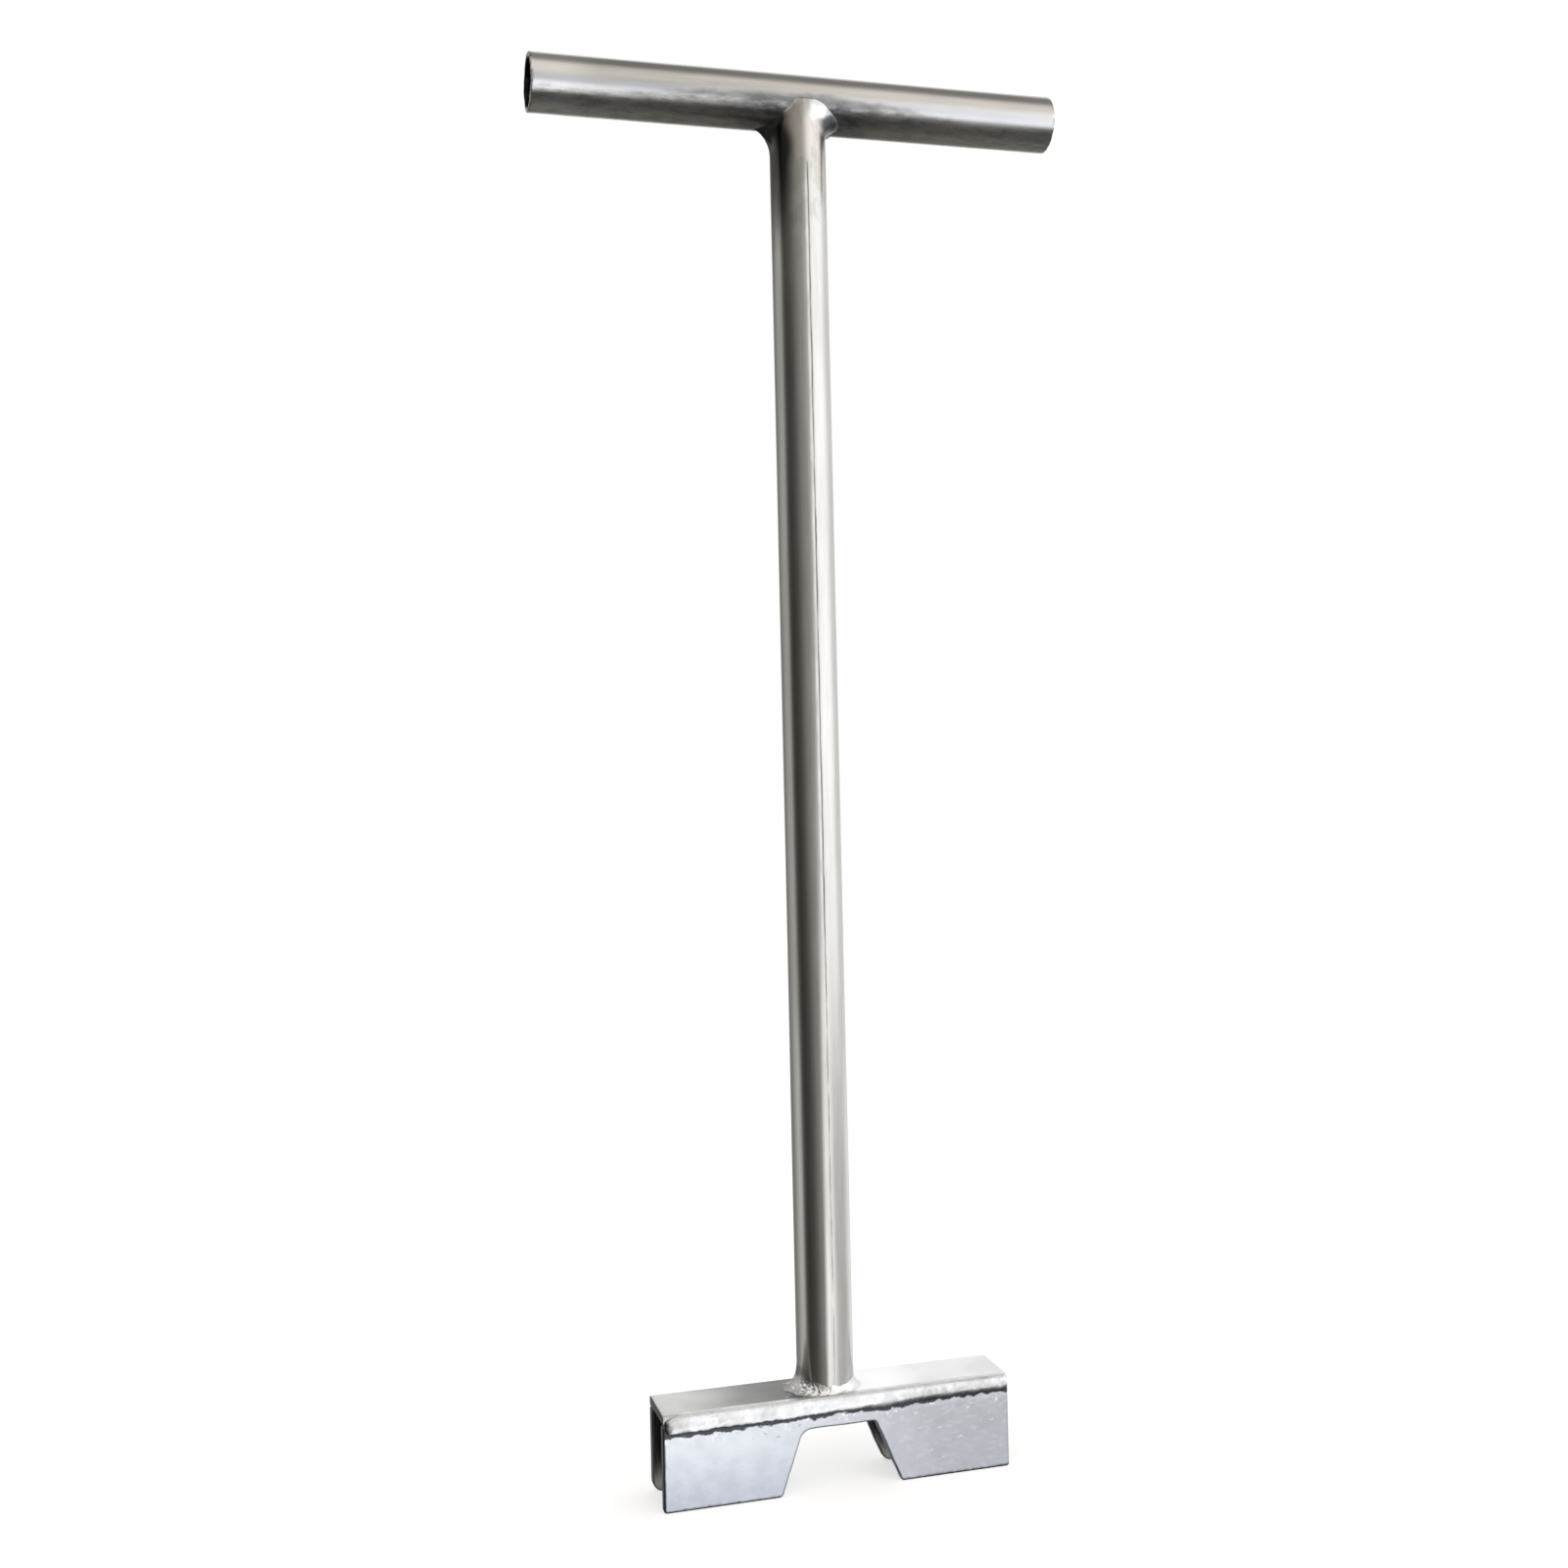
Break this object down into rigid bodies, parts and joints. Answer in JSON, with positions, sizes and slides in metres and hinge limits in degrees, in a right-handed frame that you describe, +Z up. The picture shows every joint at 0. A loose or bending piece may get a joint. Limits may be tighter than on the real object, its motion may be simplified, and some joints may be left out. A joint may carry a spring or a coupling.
{
  "type": "valve key",
  "caption": "Welded steel key: T-shaped tube grip and shaft on an upside-down channel head whose notched side plates straddle and turn a tee-topped valve.",
  "frame": {"origin": "on the shaft's axis, level with the feet of the head's side plates", "axes": "+Z up along the shaft towards the grip, X along the grip and the head, the front plate faces -Y"},
  "size_m": [0.21, 0.0277, 0.546],
  "materials": {
    "tube_steel": "drawn tube, semi-bright with heat stains by the upper weld",
    "bar_steel": "satin flat bar",
    "plate_steel": "pale satin plate with fine spatter",
    "weld_metal": "bright rippled weld metal",
    "dark_weld_metal": "dark ground weld metal"
  },
  "bodies": {
    "root": {"handle_tube": "tube_steel", "shaft_tube": "tube_steel", "head_top_plate": "bar_steel", "head_front_plate": "plate_steel", "head_rear_plate": "plate_steel", "handle_weld": "dark_weld_metal", "shaft_foot_weld": "weld_metal", "front_seam_weld": "weld_metal", "rear_seam_weld": "weld_metal"}
  },
  "joints": []
}
